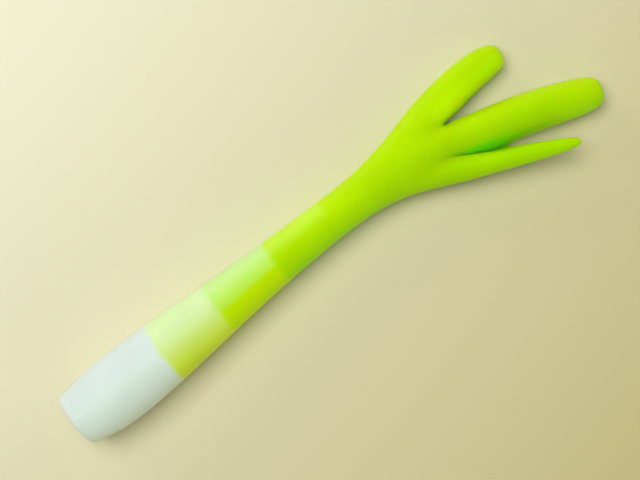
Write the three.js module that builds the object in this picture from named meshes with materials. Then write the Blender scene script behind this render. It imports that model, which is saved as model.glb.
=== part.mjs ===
// Toy leek: a smooth leek moulded in one piece, lying on its side as it rests on a table.
// Millimetres. +X runs along the stem from the white foot to the leaves, +Z is up, and the
// origin is under the middle of the object, on the table.
//
// The surface is grown from a coarse cage: rings of points along the stem, which split at
// the crown into one ring for each leaf. Rounding the cage twice gives the moulded skin,
// with soft saddles where the leaves part.

import * as THREE from 'three';

// The foot's centre line lies this much lower above the table than its ring's radius, so that
// the underside is pressed flat where it rests
const REST_DROP = 0.6;

// Stem: distance from the foot, sideways bow and radius at each ring. The foot is cut off
// square, with a rounded rim.
const FOOT_RINGS = [
  { x: 0.5, y: -0.5, radius: 7.0 },
  { x: 0.5, y: -0.5, radius: 9.3 },
  { x: 1.2, y: -0.55, radius: 9.75 },
  { x: 8, y: -0.9, radius: 11.5 },
];
const BULB = { x: 20, y: -0.8, radius: 12.2 };
const STEM_RINGS = [
  { x: 40, y: -0.5, radius: 11.1 },
  { x: 62, y: -0.2, radius: 9.3 },
  { x: 83, y: 0.1, radius: 7.9 },
  { x: 104, y: 0.3, radius: 7.25 },
  { x: 120, y: 0, radius: 7.1 },
];

// Crown: where the stem spreads into the three leaves, and how far the round section has
// turned into the wide one, and drifted sideways, at each ring on the way
const CROWN_X = 154;
const CROWN_CENTRE_Z = 7.8;
const SPREAD_RINGS = [
  { x: 132, spread: 0.2, drift: 0 },
  { x: 144, spread: 0.64, drift: -0.25 },
];

// Leaves, as seen along the stem. Every ring is a centre and a radius; the first ring stands
// in the crown, and the last one closes the tip.
const LEFT_LEAF = {
  sides: 6,
  rings: [
    { at: [CROWN_X, 6.7, CROWN_CENTRE_Z], radius: 6.7 },
    { at: [163, 8.4, 6.9], radius: 6.5 },
    { at: [173, 9.6, 6.0], radius: 6.2 },
    { at: [182, 9.7, 5.5], radius: 5.8 },
    { at: [187.2, 8.9, 5.4], radius: 4.7 },
    { at: [189.3, 8.5, 5.4], radius: 2.5 },
  ],
};
const MIDDLE_LEAF = {
  sides: 7,
  rings: [
    { at: [CROWN_X, -4.0, 7.4], radius: 6.7 },
    { at: [160, -5.6, 7.2], radius: 6.7 },
    { at: [168.5, -8.3, 7.0], radius: 6.85 },
    { at: [180, -11.75, 6.9], radius: 7.15 },
    { at: [190, -15.25, 6.6], radius: 6.9 },
    { at: [201, -19.5, 6.2], radius: 6.4 },
    { at: [206.4, -21.5, 6.0], radius: 5.3 },
    { at: [208.4, -22.3, 6.0], radius: 3.2 },
  ],
};
const RIGHT_LEAF = {
  sides: 9,
  rings: [
    { at: [CROWN_X, -13.6, 8.9], radius: 4.8 },
    { at: [160, -16.7, 9.9], radius: 4.2 },
    { at: [167.5, -20.3, 10.9], radius: 3.65 },
    { at: [174, -23.4, 11.6], radius: 3.3 },
    { at: [181, -26.7, 12.2], radius: 2.8 },
    { at: [187.8, -29.8, 12.7], radius: 2.1 },
    { at: [190.8, -31.2, 12.9], radius: 1.1 },
  ],
};

// Where the leaves part: the left web closes at the crown, and the right one sinks into a
// groove, ring by ring, that closes at a fork further out
const LEFT_WEB = { top: [155, 1.7, 14.3], bottom: [155, 1.5, 2.6] };
const GROOVE = [
  { top: [154, -8.8, 11.2], bottom: [153, -9.3, 2.6] },
  { top: [160, -12.2, 6.5], bottom: [160, -12.0, 2.2] },
  { top: [168.3, -16.5, 3.2], bottom: [168.3, -16.1, 1.4] },
];
const MIDDLE_SHOULDER = [154, -7.4, 13.5];
const MIDDLE_TOP = [154, -3.3, 15.1];

const STEM_SIDES = 18;
const ROUNDINGS = 2;

// A rounded ring draws in from its cage; this is how much wider the cage has to be
const cageFactor = (sides) => 6 / (4 + 2 * Math.cos((2 * Math.PI) / sides));

const stemHeight = (x) => {
  const bulbCentre = BULB.radius - REST_DROP;
  return THREE.MathUtils.mapLinear(x, BULB.x, CROWN_X, bulbCentre, CROWN_CENTRE_Z);
};

// A ring's points go round over the top, seen along its heading. The first point stands
// half a step above the right-hand side, or whole steps from there.
function ringPoints(centre, heading, radius, sides, first = 0) {
  const right = new THREE.Vector3(heading.y, -heading.x, 0).normalize();
  const up = new THREE.Vector3().crossVectors(right, heading).normalize();
  const wide = radius * cageFactor(sides);
  return Array.from({ length: sides }, (_, k) => {
    const angle = ((2 * (k + first) + 1) * Math.PI) / sides;
    return new THREE.Vector3(...centre)
      .addScaledVector(right, wide * Math.cos(angle))
      .addScaledVector(up, wide * Math.sin(angle));
  });
}

function stemRing({ x, y, radius }) {
  return ringPoints([x, y, stemHeight(x)], new THREE.Vector3(1, 0, 0), radius, STEM_SIDES, -1);
}

function leafRing({ rings, sides }, k) {
  const before = new THREE.Vector3(...rings[Math.max(k - 1, 0)].at);
  const after = new THREE.Vector3(...rings[Math.min(k + 1, rings.length - 1)].at);
  return ringPoints(rings[k].at, after.sub(before).normalize(), rings[k].radius, sides);
}

// Points spaced evenly between two others
const between = (a, b, count) =>
  Array.from({ length: count }, (_, k) => a.clone().lerp(b, (k + 1) / (count + 1)));

function buildCage() {
  const points = [];
  const faces = [];
  const addPoint = (point) => points.push(point) - 1;
  const addRing = (ring) => ring.map(addPoint);
  const join = (from, to) => from.forEach((_, k) => {
    const next = (k + 1) % from.length;
    faces.push([from[k], to[k], to[next], from[next]]);
  });
  const growLeaf = (root, leaf, first) => {
    let leafEnd = root;
    for (let k = first; k < leaf.rings.length; k += 1) {
      const nextRing = addRing(leafRing(leaf, k));
      join(leafEnd, nextRing);
      leafEnd = nextRing;
    }
    faces.push([...leafEnd].reverse());
  };

  // From the foot to the crown. On the way, the webs between the leaves are filled.
  const left = leafRing(LEFT_LEAF, 0);
  const middle = leafRing(MIDDLE_LEAF, 0);
  const right = leafRing(RIGHT_LEAF, 0);
  const middleTop = new THREE.Vector3(...MIDDLE_TOP);
  const filledRing = [
    ...right.slice(0, 3), ...between(right[2], middleTop, 3), middleTop,
    ...between(middleTop, left[1], 1), ...left.slice(1, 5), ...between(left[4], middle[4], 1),
    middle[4], ...between(middle[4], right[6], 1), ...right.slice(6),
  ];
  const roundRings = [...FOOT_RINGS, BULB, ...STEM_RINGS].map(stemRing);
  const spreadRings = SPREAD_RINGS.map(({ x, spread, drift }) => {
    const round = stemRing({ ...STEM_RINGS.at(-1), x });
    return round.map((point, k) => {
      const target = filledRing[k].clone();
      target.x = x;
      target.y += drift / spread;
      return point.lerp(target, spread);
    });
  });
  let ring = addRing(roundRings[0]);
  faces.push([...ring]);
  for (const next of [...roundRings.slice(1), ...spreadRings]) {
    const nextRing = addRing(next);
    join(ring, nextRing);
    ring = nextRing;
  }

  // The crown's ring runs round the outside of the three leaf roots
  const places = (list) => addRing(list.map((place) => new THREE.Vector3(...place)));
  const [webTop, webBottom] = places([LEFT_WEB.top, LEFT_WEB.bottom]);
  const floors = places(GROOVE.map(({ top }) => top));
  const undersides = places(GROOVE.map(({ bottom }) => bottom));
  const [shoulder, top] = places([MIDDLE_SHOULDER, MIDDLE_TOP]);
  const leftSide = addRing(left.slice(1, 5));
  const middleUnder = addPoint(middle[4]);
  let rightTop = addRing(right.slice(0, 4));
  let rightUnder = addRing(right.slice(6));
  join(ring, [
    ...rightTop, floors[0], shoulder, top, webTop,
    ...leftSide, webBottom, middleUnder, undersides[0], ...rightUnder,
  ]);

  // The left leaf parts from the other two at the crown, and those part at the fork
  growLeaf([webTop, ...leftSide, webBottom], LEFT_LEAF, 1);
  let middleRing = [shoulder, top, webTop, webBottom, middleUnder];
  for (const k of [1, 2]) {
    const nextMiddle = addRing(leafRing(MIDDLE_LEAF, k).slice(0, 5));
    const nextRight = leafRing(RIGHT_LEAF, k);
    const nextTop = addRing(nextRight.slice(0, 4));
    const nextUnder = addRing(nextRight.slice(6));
    join(
      [...rightTop, floors[k - 1], ...middleRing, undersides[k - 1], ...rightUnder],
      [...nextTop, floors[k], ...nextMiddle, undersides[k], ...nextUnder],
    );
    [middleRing, rightTop, rightUnder] = [nextMiddle, nextTop, nextUnder];
  }
  growLeaf([...middleRing, undersides[2], floors[2]], MIDDLE_LEAF, 3);
  growLeaf([...rightTop, floors[2], undersides[2], ...rightUnder], RIGHT_LEAF, 3);
  return { points, faces };
}

const middleOf = (points) =>
  points.reduce((sum, point) => sum.add(point), new THREE.Vector3()).divideScalar(points.length);

// One rounding step (Catmull and Clark): every face becomes a fan of four-sided faces, and
// the old points move towards the middles of what surrounds them
function roundOnce({ points, faces }) {
  const faceMiddles = faces.map((face) => middleOf(face.map((k) => points[k])));
  const edges = new Map();
  const edgeOf = (a, b) => {
    const key = a < b ? `${a} ${b}` : `${b} ${a}`;
    if (!edges.has(key)) edges.set(key, { ends: [a, b], faces: [] });
    return edges.get(key);
  };
  const around = points.map(() => ({ faces: [], edges: new Set() }));
  faces.forEach((face, f) => face.forEach((a, k) => {
    const edge = edgeOf(a, face[(k + 1) % face.length]);
    edge.faces.push(f);
    edge.ends.forEach((end) => around[end].edges.add(edge));
    around[a].faces.push(f);
  }));

  const moved = points.map((point, k) => {
    const count = around[k].faces.length;
    const faceMean = middleOf(around[k].faces.map((f) => faceMiddles[f]));
    const edgeMean = middleOf([...around[k].edges].map(({ ends }) => middleOf(ends.map((end) => points[end]))));
    return faceMean.add(edgeMean.multiplyScalar(2)).addScaledVector(point, count - 3).divideScalar(count);
  });
  const rounded = [...moved, ...faceMiddles];
  for (const edge of edges.values()) {
    const corners = [...edge.ends.map((end) => points[end]), ...edge.faces.map((f) => faceMiddles[f])];
    edge.index = rounded.push(middleOf(corners)) - 1;
  }
  const quads = faces.flatMap((face, f) => face.map((a, k) => {
    const next = edgeOf(a, face[(k + 1) % face.length]).index;
    const previous = edgeOf(a, face[(k + face.length - 1) % face.length]).index;
    return [a, next, points.length + f, previous];
  }));
  return { points: rounded, faces: quads };
}

function leekGeometry() {
  let skin = buildCage();
  for (let k = 0; k < ROUNDINGS; k += 1) skin = roundOnce(skin);

  const box = new THREE.Box3().setFromPoints(skin.points);
  const middle = box.getCenter(new THREE.Vector3());
  const positions = skin.points.flatMap(({ x, y, z }) => [x - middle.x, y - middle.y, Math.max(z, 0)]);
  const triangles = skin.faces.flatMap(([a, b, c, d]) => [a, b, c, a, c, d]);
  const geometry = new THREE.BufferGeometry();
  geometry.setAttribute('position', new THREE.Float32BufferAttribute(positions, 3));
  geometry.setIndex(triangles);
  geometry.computeVertexNormals();
  return geometry;
}

const softPlastic = new THREE.MeshStandardMaterial({ color: 0xaedc1e, roughness: 0.55, metalness: 0 });

const leek = new THREE.Mesh(leekGeometry(), softPlastic);
leek.name = 'leek';

const toyLeek = new THREE.Group();
toyLeek.add(leek);

export default toyLeek;
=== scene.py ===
# A toy leek, moulded in one piece in soft plastic and tinted in bands, lying on a table.
# Metres. +X runs along the stem from the white foot to the leaves, +Z is up, and the origin
# is under the middle of the leek, on the table.

import math

import bmesh
import bpy
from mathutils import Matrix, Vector


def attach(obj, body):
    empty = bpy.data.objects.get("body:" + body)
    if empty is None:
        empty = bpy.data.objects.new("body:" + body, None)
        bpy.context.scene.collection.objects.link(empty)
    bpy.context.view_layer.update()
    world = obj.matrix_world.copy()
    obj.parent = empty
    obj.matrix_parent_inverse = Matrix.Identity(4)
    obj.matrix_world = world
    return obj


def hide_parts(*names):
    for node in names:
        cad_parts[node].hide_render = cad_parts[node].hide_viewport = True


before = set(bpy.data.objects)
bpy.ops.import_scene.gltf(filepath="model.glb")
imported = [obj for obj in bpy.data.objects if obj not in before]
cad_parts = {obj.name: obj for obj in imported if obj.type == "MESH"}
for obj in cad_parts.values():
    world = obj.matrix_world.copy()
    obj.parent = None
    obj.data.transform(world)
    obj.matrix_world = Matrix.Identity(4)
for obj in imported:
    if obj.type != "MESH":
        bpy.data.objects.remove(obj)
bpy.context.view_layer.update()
bpy.ops.object.select_all(action="DESELECT")


# Camera
# The photograph looks straight down on the table from 450 mm above it, with the leek's foot
# towards the lower left corner.
CAMERA_PLACE = (-0.0032, 0.0049, 0.450)
CAMERA_TURN_DEG = -38.2
PICTURE_WIDTH_PX = 640
FOCAL_LENGTH_PX = 1307.7
SENSOR_WIDTH_MM = 36.0
NEAREST_SEEN = 0.01  # metres from the camera
FARTHEST_SEEN = 20.0

camera_data = bpy.data.cameras.new("camera")
camera_data.sensor_fit = "HORIZONTAL"
camera_data.sensor_width = SENSOR_WIDTH_MM
camera_data.lens = FOCAL_LENGTH_PX / PICTURE_WIDTH_PX * SENSOR_WIDTH_MM
camera_data.clip_start = NEAREST_SEEN
camera_data.clip_end = FARTHEST_SEEN
camera = bpy.data.objects.new("camera", camera_data)
camera.location = CAMERA_PLACE
camera.rotation_euler = (0.0, 0.0, math.radians(CAMERA_TURN_DEG))
bpy.context.scene.collection.objects.link(camera)
bpy.context.scene.camera = camera


# Leek
# One solid moulding in soft plastic: a blunt white foot, a slim stem in bands of green, and
# a crown of three leaves. Its cage is drawn out ring by ring from the foot, split at the
# crown into three leaf roots, and then rounded.
MM = 0.001
MIDDLE_X = 104.777  # mm from the foot's end to the middle of the leek
MIDDLE_Y = -8.128  # mm from the stem's centre line to the middle of the leek's width

# Foot and stem: distance from the foot's end, sideways bow and radius of each ring, in mm
END_FACE_RADIUS = 8.6
REST_DROP = 0.6  # the foot's centre line is this much lower than its radius, so it rests flat
BULB_X = 20.0
BULB_RADIUS = 12.2
STEM_RINGS = [
    (0.5, -0.5, 9.45),
    (1.0, -0.5, 9.7),
    (4.0, -0.65, 10.2),
    (9.0, -0.85, 11.2),
    (BULB_X, -0.8, BULB_RADIUS),
    (40.0, -0.5, 11.1),
    (62.0, -0.2, 9.3),
    (83.0, 0.1, 7.9),
    (104.0, 0.3, 7.25),
    (120.0, 0.0, 7.1),
]
STEM_SIDES = 18

# Crown: the rings on the way to it, each with the share that it has spread and how many mm it
# has drifted sideways
CROWN_X = 154.0
CROWN_HEIGHT = 7.8
SPREAD_RINGS = [
    (132.0, 0.2, 0.0),
    (144.0, 0.64, -0.25),
]

# Leaves: centre and radius of each ring, in mm, from the crown to the tip
LEFT_LEAF_SIDES = 6
LEFT_LEAF = [
    ((CROWN_X, 6.7, CROWN_HEIGHT), 6.7),
    ((163.0, 8.4, 6.9), 6.5),
    ((173.0, 9.6, 6.0), 6.2),
    ((182.0, 9.7, 5.5), 5.8),
    ((187.2, 8.9, 5.4), 4.7),
    ((189.3, 8.5, 5.4), 2.5),
]
MIDDLE_LEAF_SIDES = 7
MIDDLE_LEAF = [
    ((CROWN_X, -4.0, 7.4), 6.7),
    ((160.0, -5.6, 7.2), 6.7),
    ((168.5, -8.3, 7.0), 6.85),
    ((180.0, -11.75, 6.9), 7.15),
    ((190.0, -15.25, 6.6), 6.9),
    ((201.0, -19.5, 6.2), 6.4),
    ((206.4, -21.5, 6.0), 5.3),
    ((208.4, -22.3, 6.0), 3.2),
]
RIGHT_LEAF_SIDES = 9
RIGHT_LEAF = [
    ((CROWN_X, -13.6, 8.9), 4.8),
    ((160.0, -16.7, 9.9), 4.2),
    ((167.5, -20.3, 10.9), 3.65),
    ((174.0, -23.4, 11.6), 3.3),
    ((181.0, -26.7, 12.2), 2.8),
    ((187.8, -29.8, 12.7), 2.1),
    ((190.8, -31.2, 12.9), 1.1),
]

# Where the leaves part, in mm: the left web closes at the crown, and the right one sinks
# into a groove that closes at a fork further out. Tops first, then undersides.
LEFT_WEB = ((157.2, 1.7, 14.0), (156.5, 1.5, 2.6))
GROOVE = [
    ((154.0, -8.4, 12.0), (153.0, -9.3, 2.6)),
    ((160.0, -12.2, 7.3), (160.0, -12.0, 2.2)),
    ((170.5, -17.5, 2.4), (170.5, -17.2, 1.0)),
]
GROOVE_SHARPNESS = 1.0
SAME_PLACE = 1e-6  # corners nearer than this, in metres, are the same corner

# At the crown, the middle leaf's shoulder beside the groove, and the top of its back
CROWN_MIDDLE_TOP = ((154.0, -7.4, 13.5), (154.0, -3.3, 15.1))

# The corners of a ring are counted from its right-hand side over the top. Where the leaves
# meet, each keeps these as its own, and the webs' and the groove's stand between them.
LEFT_OWN = slice(1, 5)
MIDDLE_OWN = slice(0, 5)
RIGHT_OVER = slice(0, 4)
RIGHT_UNDER = slice(6, 9)

ROUNDING_LEVELS = 4  # how many times the cage is rounded

# Parting line on the foot, in mm: how far left it starts, how far it turns right for each mm
# along, its width, where it begins and ends, and its height
LINE_Y = 0.55
LINE_SLANT = 0.09
LINE_WIDTH = 0.36
LINE_FROM = 1.0
LINE_TO = 9.0
LINE_HEIGHT = 0.06


def in_frame(x, y, z):
    """A place in millimetres from the foot's end, as metres from the middle of the leek."""
    return Vector((x - MIDDLE_X, y - MIDDLE_Y, z)) * MM


def cage_radius(radius, sides):
    """Rounding draws a ring in, so its cage is made this much wider."""
    return radius * MM * 6 / (4 + 2 * math.cos(2 * math.pi / sides))


def stem_height(x):
    """The centre line sinks evenly from the foot to the crown."""
    foot_height = BULB_RADIUS - REST_DROP
    part_way = (x - BULB_X) / (CROWN_X - BULB_X)
    return foot_height + part_way * (CROWN_HEIGHT - foot_height)


def ring_corners(centre, heading, radius, sides, first):
    """The corners of a ring, from its right-hand side over the top, seen along its heading."""
    right = Vector((heading.y, -heading.x, 0)).normalized()
    up = right.cross(heading).normalized()
    corners = []
    for k in range(first, first + sides):
        angle = (2 * k + 1) * math.pi / sides
        outwards = right * math.cos(angle) + up * math.sin(angle)
        corners.append(centre + outwards * cage_radius(radius, sides))
    return corners


def stem_corners(x, y, radius):
    """A ring of the foot or the stem; its first corner is under its right-hand side."""
    centre = in_frame(x, y, stem_height(x))
    return ring_corners(centre, Vector((1, 0, 0)), radius, STEM_SIDES, first=-1)


def leaf_corners(leaf, k, sides):
    """A leaf's ring, square to the way from the ring before it to the one after it."""
    before = in_frame(*leaf[max(k - 1, 0)][0])
    after = in_frame(*leaf[min(k + 1, len(leaf) - 1)][0])
    place, radius = leaf[k]
    return ring_corners(in_frame(*place), after - before, radius, sides, first=0)


def right_leaf_corners(k):
    """The right leaf's own corners at one of its rings, over the top and underneath."""
    ring = leaf_corners(RIGHT_LEAF, k, RIGHT_LEAF_SIDES)
    return ring[RIGHT_OVER], ring[RIGHT_UNDER]


def between(corner, other, count):
    """Places spaced evenly between two corners."""
    return [corner.lerp(other, k / (count + 1)) for k in range(1, count + 1)]


def spread_corners(wide_ring, x, spread, drift):
    """A ring of the stem, part of the way to a wide ring at the crown."""
    _, stem_y, stem_radius = STEM_RINGS[-1]
    corners = []
    for round_corner, wide_corner in zip(stem_corners(x, stem_y, stem_radius), wide_ring):
        target = Vector((round_corner.x, wide_corner.y + drift / spread * MM, wide_corner.z))
        corners.append(round_corner.lerp(target, spread))
    return corners


def middle_of(corners):
    """The mean of some corners' places."""
    return sum(corners, Vector()) / len(corners)


def select_corners(*places):
    """In edit mode, select only the corners of the cage that stand at these places."""
    bpy.ops.mesh.select_all(action="DESELECT")
    cage = bmesh.from_edit_mesh(leek.data)
    for place in places:
        nearest = min(cage.verts, key=lambda corner: (corner.co - place).length)
        nearest.select = True
    bmesh.update_edit_mesh(leek.data)


def select_end(ring):
    """In edit mode, select only the face that these corners bound."""
    bpy.ops.mesh.select_all(action="DESELECT")
    cage = bmesh.from_edit_mesh(leek.data)
    place = middle_of(ring)
    ends = [face for face in cage.faces if len(face.verts) == len(ring)]
    nearest = min(ends, key=lambda end: (end.calc_center_median() - place).length)
    nearest.select_set(True)
    bmesh.update_edit_mesh(leek.data)


def draw_out(ring, next_ring):
    """Extrude the end at a ring as far as the next one and move its corners to their places."""
    select_end(ring)
    step = middle_of(next_ring) - middle_of(ring)
    bpy.ops.mesh.extrude_region_move(TRANSFORM_OT_translate={"value": step})
    for corner, target in zip(ring, next_ring):
        select_corners(corner + step)
        bpy.ops.transform.translate(value=target - corner - step)


def cut_across(top, bottom):
    """Cut an end face in two between two of its corners."""
    select_corners(top, bottom)
    bpy.ops.mesh.vert_connect()


def grow_leaf(root, leaf, first, sides):
    """Draw a leaf out of its root, from one of its rings to the tip."""
    ring = root
    for k in range(first, len(leaf)):
        next_ring = leaf_corners(leaf, k, sides)
        draw_out(ring, next_ring)
        ring = next_ring


# The foot's end is a round face across the stem, turned to match the rings
first_x, first_y, first_radius = STEM_RINGS[0]
bpy.ops.mesh.primitive_circle_add(
    vertices=STEM_SIDES,
    radius=cage_radius(first_radius, STEM_SIDES),
    fill_type="NGON",
    location=in_frame(first_x, first_y, stem_height(first_x)),
    rotation=(math.pi / 2, 0, math.pi / 2),
)
leek = bpy.context.active_object
leek.name = "leek_moulding"
bpy.ops.object.transform_apply(location=True, rotation=True, scale=True)

# At the crown the leaves' rings meet in one wide ring, over the webs between them
left_own = leaf_corners(LEFT_LEAF, 0, LEFT_LEAF_SIDES)[LEFT_OWN]
middle_own = leaf_corners(MIDDLE_LEAF, 0, MIDDLE_LEAF_SIDES)[MIDDLE_OWN]
right_over, right_under = right_leaf_corners(0)
left_web_top, left_web_bottom = (in_frame(*place) for place in LEFT_WEB)
groove_tops = [in_frame(*top) for top, bottom in GROOVE]
groove_bottoms = [in_frame(*bottom) for top, bottom in GROOVE]
middle_shoulder, middle_top = (in_frame(*place) for place in CROWN_MIDDLE_TOP)
crown_ring = [
    *right_over, groove_tops[0], middle_shoulder, middle_top, left_web_top,
    *left_own, left_web_bottom, middle_own[-1], groove_bottoms[0], *right_under,
]

# The stem spreads towards the same ring with its groove and webs filled by evenly spaced corners
filled_ring = [
    *right_over[:-1], *between(right_over[-2], middle_top, 3), middle_top,
    *between(middle_top, left_own[0], 1), *left_own,
    *between(left_own[-1], middle_own[-1], 1), middle_own[-1],
    *between(middle_own[-1], right_under[0], 1), *right_under,
]
rings = [stem_corners(*ring) for ring in STEM_RINGS]
rings += [spread_corners(filled_ring, *ring) for ring in SPREAD_RINGS]
rings += [crown_ring]
bpy.ops.object.mode_set(mode="EDIT")
bpy.ops.mesh.select_mode(type="VERT")
for ring, next_ring in zip(rings, rings[1:]):
    draw_out(ring, next_ring)

# The crown's end is cut across the left web, and its right part drawn out along the groove
# to the fork, where it's cut again
cut_across(left_web_top, left_web_bottom)
left_root = [left_web_top, *left_own, left_web_bottom]
root = [
    *right_over, groove_tops[0], middle_shoulder, middle_top, left_web_top,
    left_web_bottom, middle_own[-1], groove_bottoms[0], *right_under,
]
fork = len(GROOVE) - 1
for k in range(1, fork + 1):
    middle_own = leaf_corners(MIDDLE_LEAF, k, MIDDLE_LEAF_SIDES)[MIDDLE_OWN]
    right_over, right_under = right_leaf_corners(k)
    next_root = [*right_over, groove_tops[k], *middle_own, groove_bottoms[k], *right_under]
    draw_out(root, next_root)
    root = next_root
cut_across(groove_tops[fork], groove_bottoms[fork])
middle_root = [*middle_own, groove_bottoms[fork], groove_tops[fork]]
right_root = [*right_over, groove_tops[fork], groove_bottoms[fork], *right_under]
grow_leaf(left_root, LEFT_LEAF, 1, LEFT_LEAF_SIDES)
grow_leaf(middle_root, MIDDLE_LEAF, fork + 1, MIDDLE_LEAF_SIDES)
grow_leaf(right_root, RIGHT_LEAF, fork + 1, RIGHT_LEAF_SIDES)

# The groove stays sharp along its floor
bpy.ops.mesh.select_all(action="DESELECT")
cage = bmesh.from_edit_mesh(leek.data)
for edge in cage.edges:
    ends = [corner.co for corner in edge.verts]
    on_floor = [min((end - place).length for place in groove_tops) < SAME_PLACE for end in ends]
    edge.select_set(all(on_floor))
bmesh.update_edit_mesh(leek.data)
bpy.ops.transform.edge_crease(value=GROOVE_SHARPNESS)

# The foot's end face is inset, which keeps it flat inside a rounded rim
select_end(rings[0])
rim_width = cage_radius(first_radius, STEM_SIDES) - cage_radius(END_FACE_RADIUS, STEM_SIDES)
bpy.ops.mesh.inset(thickness=rim_width * math.cos(math.pi / STEM_SIDES))
bpy.ops.mesh.select_all(action="SELECT")
bpy.ops.mesh.normals_make_consistent(inside=False)
bpy.ops.object.mode_set(mode="OBJECT")

rounding = leek.modifiers.new("rounding", "SUBSURF")
rounding.levels = ROUNDING_LEVELS
rounding.render_levels = ROUNDING_LEVELS
bpy.ops.object.modifier_apply(modifier=rounding.name)

# What would reach below the table is pressed flat on it
bpy.ops.object.mode_set(mode="EDIT")
bpy.ops.mesh.select_all(action="DESELECT")
skin = bmesh.from_edit_mesh(leek.data)
for point in skin.verts:
    point.select = point.co.z < 0
bmesh.update_edit_mesh(leek.data)
bpy.ops.transform.resize(value=(1, 1, 0), center_override=(0, 0, 0))
bpy.ops.mesh.select_all(action="DESELECT")
bpy.ops.object.mode_set(mode="OBJECT")
bpy.ops.object.shade_smooth()

# The mould's parting leaves a fine raised line on top of the foot
bpy.ops.object.mode_set(mode="EDIT")
bpy.ops.mesh.select_all(action="DESELECT")
skin = bmesh.from_edit_mesh(leek.data)
for point in skin.verts:
    from_end = point.co.x / MM + MIDDLE_X
    from_line = point.co.y / MM + MIDDLE_Y - LINE_Y + LINE_SLANT * from_end
    on_line = abs(from_line) < LINE_WIDTH / 2 and LINE_FROM < from_end < LINE_TO
    point.select = on_line and point.co.z > BULB_RADIUS * MM
bmesh.update_edit_mesh(leek.data)
bpy.ops.transform.translate(value=(0, 0, LINE_HEIGHT * MM))
bpy.ops.mesh.select_all(action="DESELECT")
bpy.ops.object.mode_set(mode="OBJECT")

# The plastic is tinted in bands from the foot to the leaves. The low one of two tints is painted
# shade for the side away from the light, and the other is painted for the lit side; in the pale
# and light green bands the low one is partly the plastic's own deeper tint as well. The olive one
# takes the place of light green on the right half.
WHITE = (0.640, 0.720, 0.710, 1)
WHITE_PAINTED_SHADE = (0.690, 0.800, 0.740, 1)
PALE = (0.660, 0.800, 0.440, 1)
PALE_DEEP_AND_SHADE = (0.640, 0.800, 0.050, 1)
LIGHT = (0.560, 0.800, 0.300, 1)
LIGHT_DEEP_AND_SHADE = (0.520, 0.800, 0.065, 1)
OLIVE_LIME = (0.560, 0.810, 0.001, 1)
FRESH = (0.540, 0.800, 0.050, 1)
LIME = (0.480, 0.740, 0.001, 1)
LIME_PAINTED_SHADE = (0.380, 0.770, 0.001, 1)
CROWN_PAINTED_SHADE = (0.400, 0.700, 0.001, 1)
LEAF_PAINTED_LIGHT = (0.600, 0.950, 0.001, 1)
GROOVE_PAINTED_SHADE = (0.160, 0.820, 0.004, 1)
LINE_PAINTED_GLINT = (0.760, 0.860, 0.805, 1)

# Where each band begins, in mm from the foot's end, and how wide its soft edge is
PALE_FROM = 37.38
LIGHT_FROM = 60.58
FRESH_FROM = 85.18
LIME_FROM = 108.68
PALE_EDGE = 2.2
GREEN_EDGE = 3.0

# Lines that tints part along: a point on each, in mm from the foot's end and to the left of
# the stem's centre line, and how far it turns left for each mm along
TINT_PARTING = (72.88, -1.13, 0.045)
MIDDLE_LEAF_BACK = (160.0, -5.6, -0.265)
GROOVE_FLOOR = (160.0, -12.2, -0.510)
FOOT_LINE = (0.0, LINE_Y, -LINE_SLANT)

# Where one tint turns into the next: the start and end of each change. In mm to the left of
# the stem's centre line:
PALE_TURNS = (-9.43, 5.57)
LIGHT_TURNS = (-1.43, 7.57)
FRESH_TURNS = (0.77, 5.97)
INSIDE_LEFT_LEAF = (11.5, 4.5)
# In mm from the foot's end:
CROWN_BEGINS = (115.0, 145.0)
CROWN_FADES = (202.0, 186.0)
LEFT_FORK = (152.0, 164.0)
GROOVE_BEGINS = (151.0, 161.0)
GROOVE_FADES = (182.0, 164.0)
LINE_FADES = (LINE_TO + 1.5, LINE_TO - 3.0)
# In mm to the left of the lines above:
LEFT_OF_PARTING = (-0.7, 0.7)
RIGHT_OF_BACK = (5.5, -3.0)
ON_LEFT_LEAF = (6.5, 9.5)
ON_RIGHT_FLANK = (-2.5, -6.8)
SHORT_OF_RIGHT_LEAF = (-0.9, -0.2)
UP_TO_LINE = (-0.3, 0.0)
PAST_LINE = (0.3, 0.0)
# In how far the skin faces the light:
TOWARDS_LIGHT = (0.0, 0.85, 0.53)
LIT_FLANK = (-0.7, 0.9)
GROOVE_FLANK = (0.45, -0.15)

# Unevenness: sizes and depths in metres, and scales in patches to a metre
WANDER_SCALE = 160.0
WANDER_DETAIL = 2.0
WANDER = Vector((0.0022, 0.0016, 0.0))
CLOUD_SCALE = 55.0
CLOUD_DETAIL = 4.0
CLOUD_STRENGTH = (0.97, 1.03)
SWELL_SCALE = 130.0
SWELL_DETAIL = 2.0
SWELL_STRENGTH = 0.25
SWELL_DEPTH = 0.0003
GRAIN_SCALE = 1900.0
GRAIN_DETAIL = 3.0
GRAIN_STRENGTH = 0.20
GRAIN_DEPTH = 0.00005
SATIN_TO_MATT = (0.44, 0.56)
NOISE_RANGE = (0.3, 0.7)  # a noise's values seldom lie outside this

# The plastic is cloudy, so light goes a few mm into it and comes out tinted. The depth is in
# metres, with the share of it that red, green and blue light reach in the foot and the greens.
REFRACTION = 1.46
GLOSS = 0.3
CLOUDINESS = 0.85
LIGHT_DEPTH = 0.0088
WHITE_DEPTH = (0.600, 0.700, 0.600, 1)
GREEN_DEPTH = (0.250, 1.000, 0.200, 1)

# The two colour inputs and the colour output of a Mix node, which share names with others
MIX_FIRST = 6
MIX_SECOND = 7
MIX_RESULT = 2

plastic = bpy.data.materials.new("banded_soft_plastic")
plastic.use_nodes = True
plastic_tree = plastic.node_tree
plastic_tree.nodes.clear()


def add(tree, kind, label, inputs, **settings):
    """A labelled node. Each input is a value, or the output that feeds it."""
    made = tree.nodes.new(kind)
    made.label = label
    for name, value in settings.items():
        setattr(made, name, value)
    for name, value in inputs.items():
        if isinstance(value, bpy.types.NodeSocket):
            tree.links.new(value, made.inputs[name])
        else:
            made.inputs[name].default_value = value
    return made


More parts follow.
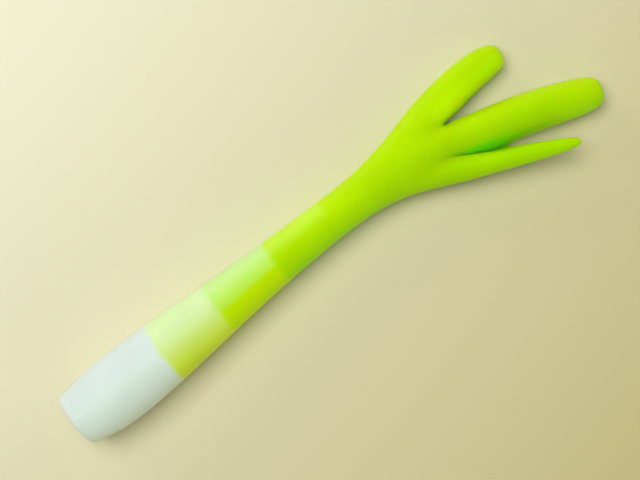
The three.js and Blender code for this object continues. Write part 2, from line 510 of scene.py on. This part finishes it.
def blend(label, mask, first, second):
    """One colour turning into another; each is a plain colour or another node's output."""
    made = add(mask.id_data, "ShaderNodeMix", label,
               {"Factor": mask, MIX_FIRST: first, MIX_SECOND: second}, data_type="RGBA")
    return made.outputs[MIX_RESULT]


def noise(label, scale, detail):
    """Noise over the leek's skin."""
    return add(plastic_tree, "ShaderNodeTexNoise", label,
               {"Vector": skin_place, "Scale": scale, "Detail": detail})


def spread_noise(label, pattern, low, high):
    """A noise's usual range, stretched from low to high."""
    noise_low, noise_high = NOISE_RANGE
    made = add(plastic_tree, "ShaderNodeMapRange", label,
               {"Value": pattern.outputs["Fac"], "From Min": noise_low, "From Max": noise_high,
                "To Min": low, "To Max": high})
    return made.outputs["Result"]


def bump(label, pattern, strength, depth, normal=None):
    """A noise as relief of this depth, on top of other relief if there is any."""
    inputs = {"Height": pattern.outputs["Fac"], "Strength": strength, "Distance": depth}
    if normal is not None:
        inputs["Normal"] = normal
    return add(plastic_tree, "ShaderNodeBump", label, inputs).outputs["Normal"]


def soft_rise(label, value, start, end):
    """0 before start and 1 after end, with a soft change between them."""
    made = add(plastic_tree, "ShaderNodeMapRange", label,
               {"Value": value, "From Min": start, "From Max": end},
               interpolation_type="SMOOTHSTEP")
    return made.outputs["Result"]


def rise_along(label, start, end):
    """A soft change along the leek, in mm from the foot's end."""
    return soft_rise(label, axes.outputs["X"], (start - MIDDLE_X) * MM, (end - MIDDLE_X) * MM)


def rise_across(label, start, end):
    """A soft change across the leek, in mm to the left of the stem's centre line."""
    return soft_rise(label, axes.outputs["Y"], (start - MIDDLE_Y) * MM, (end - MIDDLE_Y) * MM)


def rise_beside(label, from_place, line, start, end):
    """A soft change across a slanting line, in mm to the left of it."""
    line_x, line_y, slant = line
    side = add(plastic_tree, "ShaderNodeVectorMath", "across the slanting line",
               {0: from_place, 1: (-slant, 1.0, 0.0)}, operation="DOT_PRODUCT")
    on_line = (line_y - MIDDLE_Y) - slant * (line_x - MIDDLE_X)
    return soft_rise(label, side.outputs["Value"], (on_line + start) * MM, (on_line + end) * MM)


def band_from(label, start, edge):
    """Where a band has begun, with a soft edge of this width."""
    return rise_along(label, start - edge / 2, start + edge / 2)


def overlap(label, mask, *others):
    """Where all of these masks meet."""
    for other in others:
        both = add(plastic_tree, "ShaderNodeMath", label, {0: mask, 1: other}, operation="MULTIPLY")
        mask = both.outputs["Value"]
    return mask


# The edges of the bands wander a little, so the place that they are measured from does
coordinates = add(plastic_tree, "ShaderNodeTexCoord", "place on the leek", {})
skin_place = coordinates.outputs["Object"]
wander = noise("wander of the edges", WANDER_SCALE, WANDER_DETAIL)
wander_size = add(plastic_tree, "ShaderNodeVectorMath", "size of the wander",
                  {0: wander.outputs["Color"], 1: WANDER, 2: -WANDER / 2},
                  operation="MULTIPLY_ADD")
wandered_place = add(plastic_tree, "ShaderNodeVectorMath", "wandered place",
                     {0: skin_place, 1: wander_size.outputs["Vector"]},
                     operation="ADD").outputs["Vector"]
axes = add(plastic_tree, "ShaderNodeSeparateXYZ", "along, across, up", {"Vector": wandered_place})
facing = add(plastic_tree, "ShaderNodeVectorMath", "how far it faces the light",
             {0: coordinates.outputs["Normal"], 1: TOWARDS_LIGHT},
             operation="DOT_PRODUCT").outputs["Value"]

# Each band's tint, with painted shading across the stem and by facing. The lime is darker on the
# crown's right side, a painted shade, and brighter inside the left leaf, a painted light.
light_turns = rise_across("light green turns paler", *LIGHT_TURNS)
# Painted shading: a darker white on the lit side and a paler one on the side away from the light
white = blend("white", light_turns, WHITE_PAINTED_SHADE, WHITE)
# Partly painted shade: the pale band turns a deeper green towards the side away from the light,
# partly the plastic's own deeper tint
pale_turns = rise_across("pale green turns paler", *PALE_TURNS)
pale = blend("pale", pale_turns, PALE_DEEP_AND_SHADE, PALE)
# Partly painted shade: the light green band turns deeper towards the side away from the light,
# partly the plastic's own deeper tint
light = blend("light", light_turns, LIGHT_DEEP_AND_SHADE, LIGHT)
# Painted shade: the lime turns a deeper green where the skin faces away from the light
lime = blend("lime", soft_rise("lit flanks", facing, *LIT_FLANK), LIME_PAINTED_SHADE, LIME)
# Painted shade: a darker lime on the crown's right side, where the light falls off
crown_shade_paint_mask = overlap(
    "crown's right side",
    rise_along("towards the crown", *CROWN_BEGINS),
    rise_beside("right of the middle leaf's back", skin_place, MIDDLE_LEAF_BACK, *RIGHT_OF_BACK),
    rise_along("fading to the tips", *CROWN_FADES),
)
lime = blend("lime on the crown", crown_shade_paint_mask, lime, CROWN_PAINTED_SHADE)
# Painted light: a brighter lime on the left leaf's inner flank, where it faces the middle leaf
left_leaf_light_paint_mask = overlap(
    "inside of the left leaf",
    rise_beside("on the left leaf", skin_place, MIDDLE_LEAF_BACK, *ON_LEFT_LEAF),
    rise_along("from the left fork", *LEFT_FORK),
    rise_across("inner side of the left leaf", *INSIDE_LEFT_LEAF),
)
lime = blend("lime inside the left leaf", left_leaf_light_paint_mask, lime, LEAF_PAINTED_LIGHT)
# Partly painted light: the fresh band's own paler green is painted only on the lit left side,
# fading towards the centre line as a painted sheen
fresh_turns = rise_across("fresh green along the left side", *FRESH_TURNS)
fresh = blend("fresh", fresh_turns, lime, FRESH)

# The bands follow each other from the foot to the leaves, on either side of the parting
pale_on = band_from("pale from here", PALE_FROM, PALE_EDGE)
light_on = band_from("light from here", LIGHT_FROM, GREEN_EDGE)
fresh_on = band_from("fresh from here", FRESH_FROM, GREEN_EDGE)
lime_on = band_from("lime from here", LIME_FROM, GREEN_EDGE)
foot_half = blend("foot and pale band", pale_on, white, pale)
left_half = blend("left half with light band", light_on, foot_half, light)
left_half = blend("left half with fresh band", fresh_on, left_half, fresh)
left_half = blend("left half", lime_on, left_half, lime)
right_half = blend("right half with olive band", light_on, foot_half, OLIVE_LIME)
right_half = blend("right half", fresh_on, right_half, lime)
on_left = rise_beside("left of the parting", wandered_place, TINT_PARTING, *LEFT_OF_PARTING)
tint = blend("tint", on_left, right_half, left_half)

# Painted shade: a deeper, darker green in the groove along the middle leaf's right flank, where it
# faces away from the light
deep = overlap(
    "in the groove",
    rise_along("from the crown", *GROOVE_BEGINS),
    rise_beside("on the right flank", skin_place, MIDDLE_LEAF_BACK, *ON_RIGHT_FLANK),
    rise_beside("short of the right leaf", skin_place, GROOVE_FLOOR, *SHORT_OF_RIGHT_LEAF),
    rise_along("fading to the tip", *GROOVE_FADES),
    soft_rise("facing the groove", facing, *GROOVE_FLANK),
)
tint = blend("tint with deep green", deep, tint, GROOVE_PAINTED_SHADE)

# A painted glint: the parting line is painted a little brighter than the skin beside it
line = overlap(
    "on the line",
    rise_beside("up to the line", skin_place, FOOT_LINE, *UP_TO_LINE),
    rise_beside("past the line", skin_place, FOOT_LINE, *PAST_LINE),
    rise_along("end of the line", *LINE_FADES),
)
tint = blend("tint with the line", line, tint, LINE_PAINTED_GLINT)

# The skin: a slightly cloudy tint, satin to matt, with a slow swell and the mould's fine grain
cloud = noise("cloudy tint", CLOUD_SCALE, CLOUD_DETAIL)
clouded = add(plastic_tree, "ShaderNodeHueSaturation", "clouded tint",
              {"Value": spread_noise("cloud's strength", cloud, *CLOUD_STRENGTH), "Color": tint})
grain = noise("fine mould grain", GRAIN_SCALE, GRAIN_DETAIL)
swell = noise("slow swell of the skin", SWELL_SCALE, SWELL_DETAIL)
swell_normal = bump("swell", swell, SWELL_STRENGTH, SWELL_DEPTH)
grain_normal = bump("grain", grain, GRAIN_STRENGTH, GRAIN_DEPTH, swell_normal)
shader = add(plastic_tree, "ShaderNodeBsdfPrincipled", "soft plastic", {
    "Base Color": clouded.outputs["Color"],
    "Specular Tint": clouded.outputs["Color"],
    "Roughness": spread_noise("satin to matt", swell, *SATIN_TO_MATT),
    "Normal": grain_normal,
    "IOR": REFRACTION,
    "Specular IOR Level": GLOSS,
    "Subsurface Weight": CLOUDINESS,
    "Subsurface Scale": LIGHT_DEPTH,
    "Subsurface Radius": blend("depth of light", pale_on, WHITE_DEPTH, GREEN_DEPTH),
})
add(plastic_tree, "ShaderNodeOutputMaterial", "surface", {"Surface": shader.outputs["BSDF"]})

leek.data.materials.append(plastic)
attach(leek, "root")
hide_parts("leek")


# Table
# A plain pale table top, wide enough to fill the view from any side. Painted light makes it a
# little paler on the side of the window and darker and yellower on the other.
TABLE_SIZE = 6.0
TABLE_ROUGHNESS = 0.7
TABLE_PAINTED_WINDOW_LIGHT = (0.860, 0.840, 0.640, 1)
TABLE_PAINTED_FAR_SHADE = (0.575, 0.517, 0.238, 1)
TOWARDS_WINDOW = (-0.26, 0.97, 0.0)
FAR_PLACE = -0.13  # metres towards the window, from the leek
NEAR_PLACE = 0.15

bpy.ops.object.select_all(action="DESELECT")
bpy.ops.mesh.primitive_plane_add(size=TABLE_SIZE, location=(0, 0, 0))
table = bpy.context.active_object
table.name = "table"
table_paint = bpy.data.materials.new("pale_table")
table_paint.use_nodes = True
table_tree = table_paint.node_tree
table_place = add(table_tree, "ShaderNodeTexCoord", "place on the table", {})
window_side = add(table_tree, "ShaderNodeVectorMath", "towards the window",
                  {0: table_place.outputs["Object"], 1: TOWARDS_WINDOW}, operation="DOT_PRODUCT")
near_window = add(table_tree, "ShaderNodeMapRange", "near the window", {
    "Value": window_side.outputs["Value"],
    "From Min": FAR_PLACE,
    "From Max": NEAR_PLACE,
})
# Painted light and shade: the tone runs from paler near the window to darker away from it
table_tone_with_painted_light = blend("table tone", near_window.outputs["Result"], TABLE_PAINTED_FAR_SHADE, TABLE_PAINTED_WINDOW_LIGHT)
table_shader = table_tree.nodes["Principled BSDF"]
table_shader.inputs["Roughness"].default_value = TABLE_ROUGHNESS
table_tree.links.new(table_tone_with_painted_light, table_shader.inputs["Base Color"])
table.data.materials.append(table_paint)


# Light
# A broad soft light hangs over the leek, a little to its left. Low down, a window on that
# side, a warm wall on the other and a weaker one beyond the leaves lighten its flanks without
# long shadows. The room adds a faint warm light all round.
SOFT_LIGHTS = [
    # name, place in m, size in m, power in W, colour
    ("overhead", Vector((-0.10, 0.34, 1.15)), 0.85, 12.25, (1.0, 1.0, 1.0)),
    ("window", Vector((-0.15, 1.15, 0.28)), 0.55, 3.8, (1.0, 1.0, 1.0)),
    ("wall", Vector((0.10, -1.15, 0.28)), 0.55, 2.7, (1.0, 0.97, 0.62)),
    ("far wall", Vector((1.15, 0.05, 0.30)), 0.55, 1.6, (1.0, 0.99, 0.85)),
]
ROOM_COLOUR = (1.0, 0.97, 0.80, 1)
ROOM_STRENGTH = 0.16

for name, place, size, power, colour in SOFT_LIGHTS:
    soft_light_data = bpy.data.lights.new(name, "AREA")
    soft_light_data.shape = "SQUARE"
    soft_light_data.size = size
    soft_light_data.energy = power
    soft_light_data.color = colour
    soft_light = bpy.data.objects.new(name, soft_light_data)
    soft_light.location = place
    soft_light.rotation_euler = (-place).to_track_quat("-Z", "Y").to_euler()
    bpy.context.scene.collection.objects.link(soft_light)

room = bpy.data.worlds.new("room")
room.use_nodes = True
room_light = room.node_tree.nodes["Background"]
room_light.inputs["Color"].default_value = ROOM_COLOUR
room_light.inputs["Strength"].default_value = ROOM_STRENGTH
bpy.context.scene.world = room
bpy.context.scene.view_settings.view_transform = "Standard"
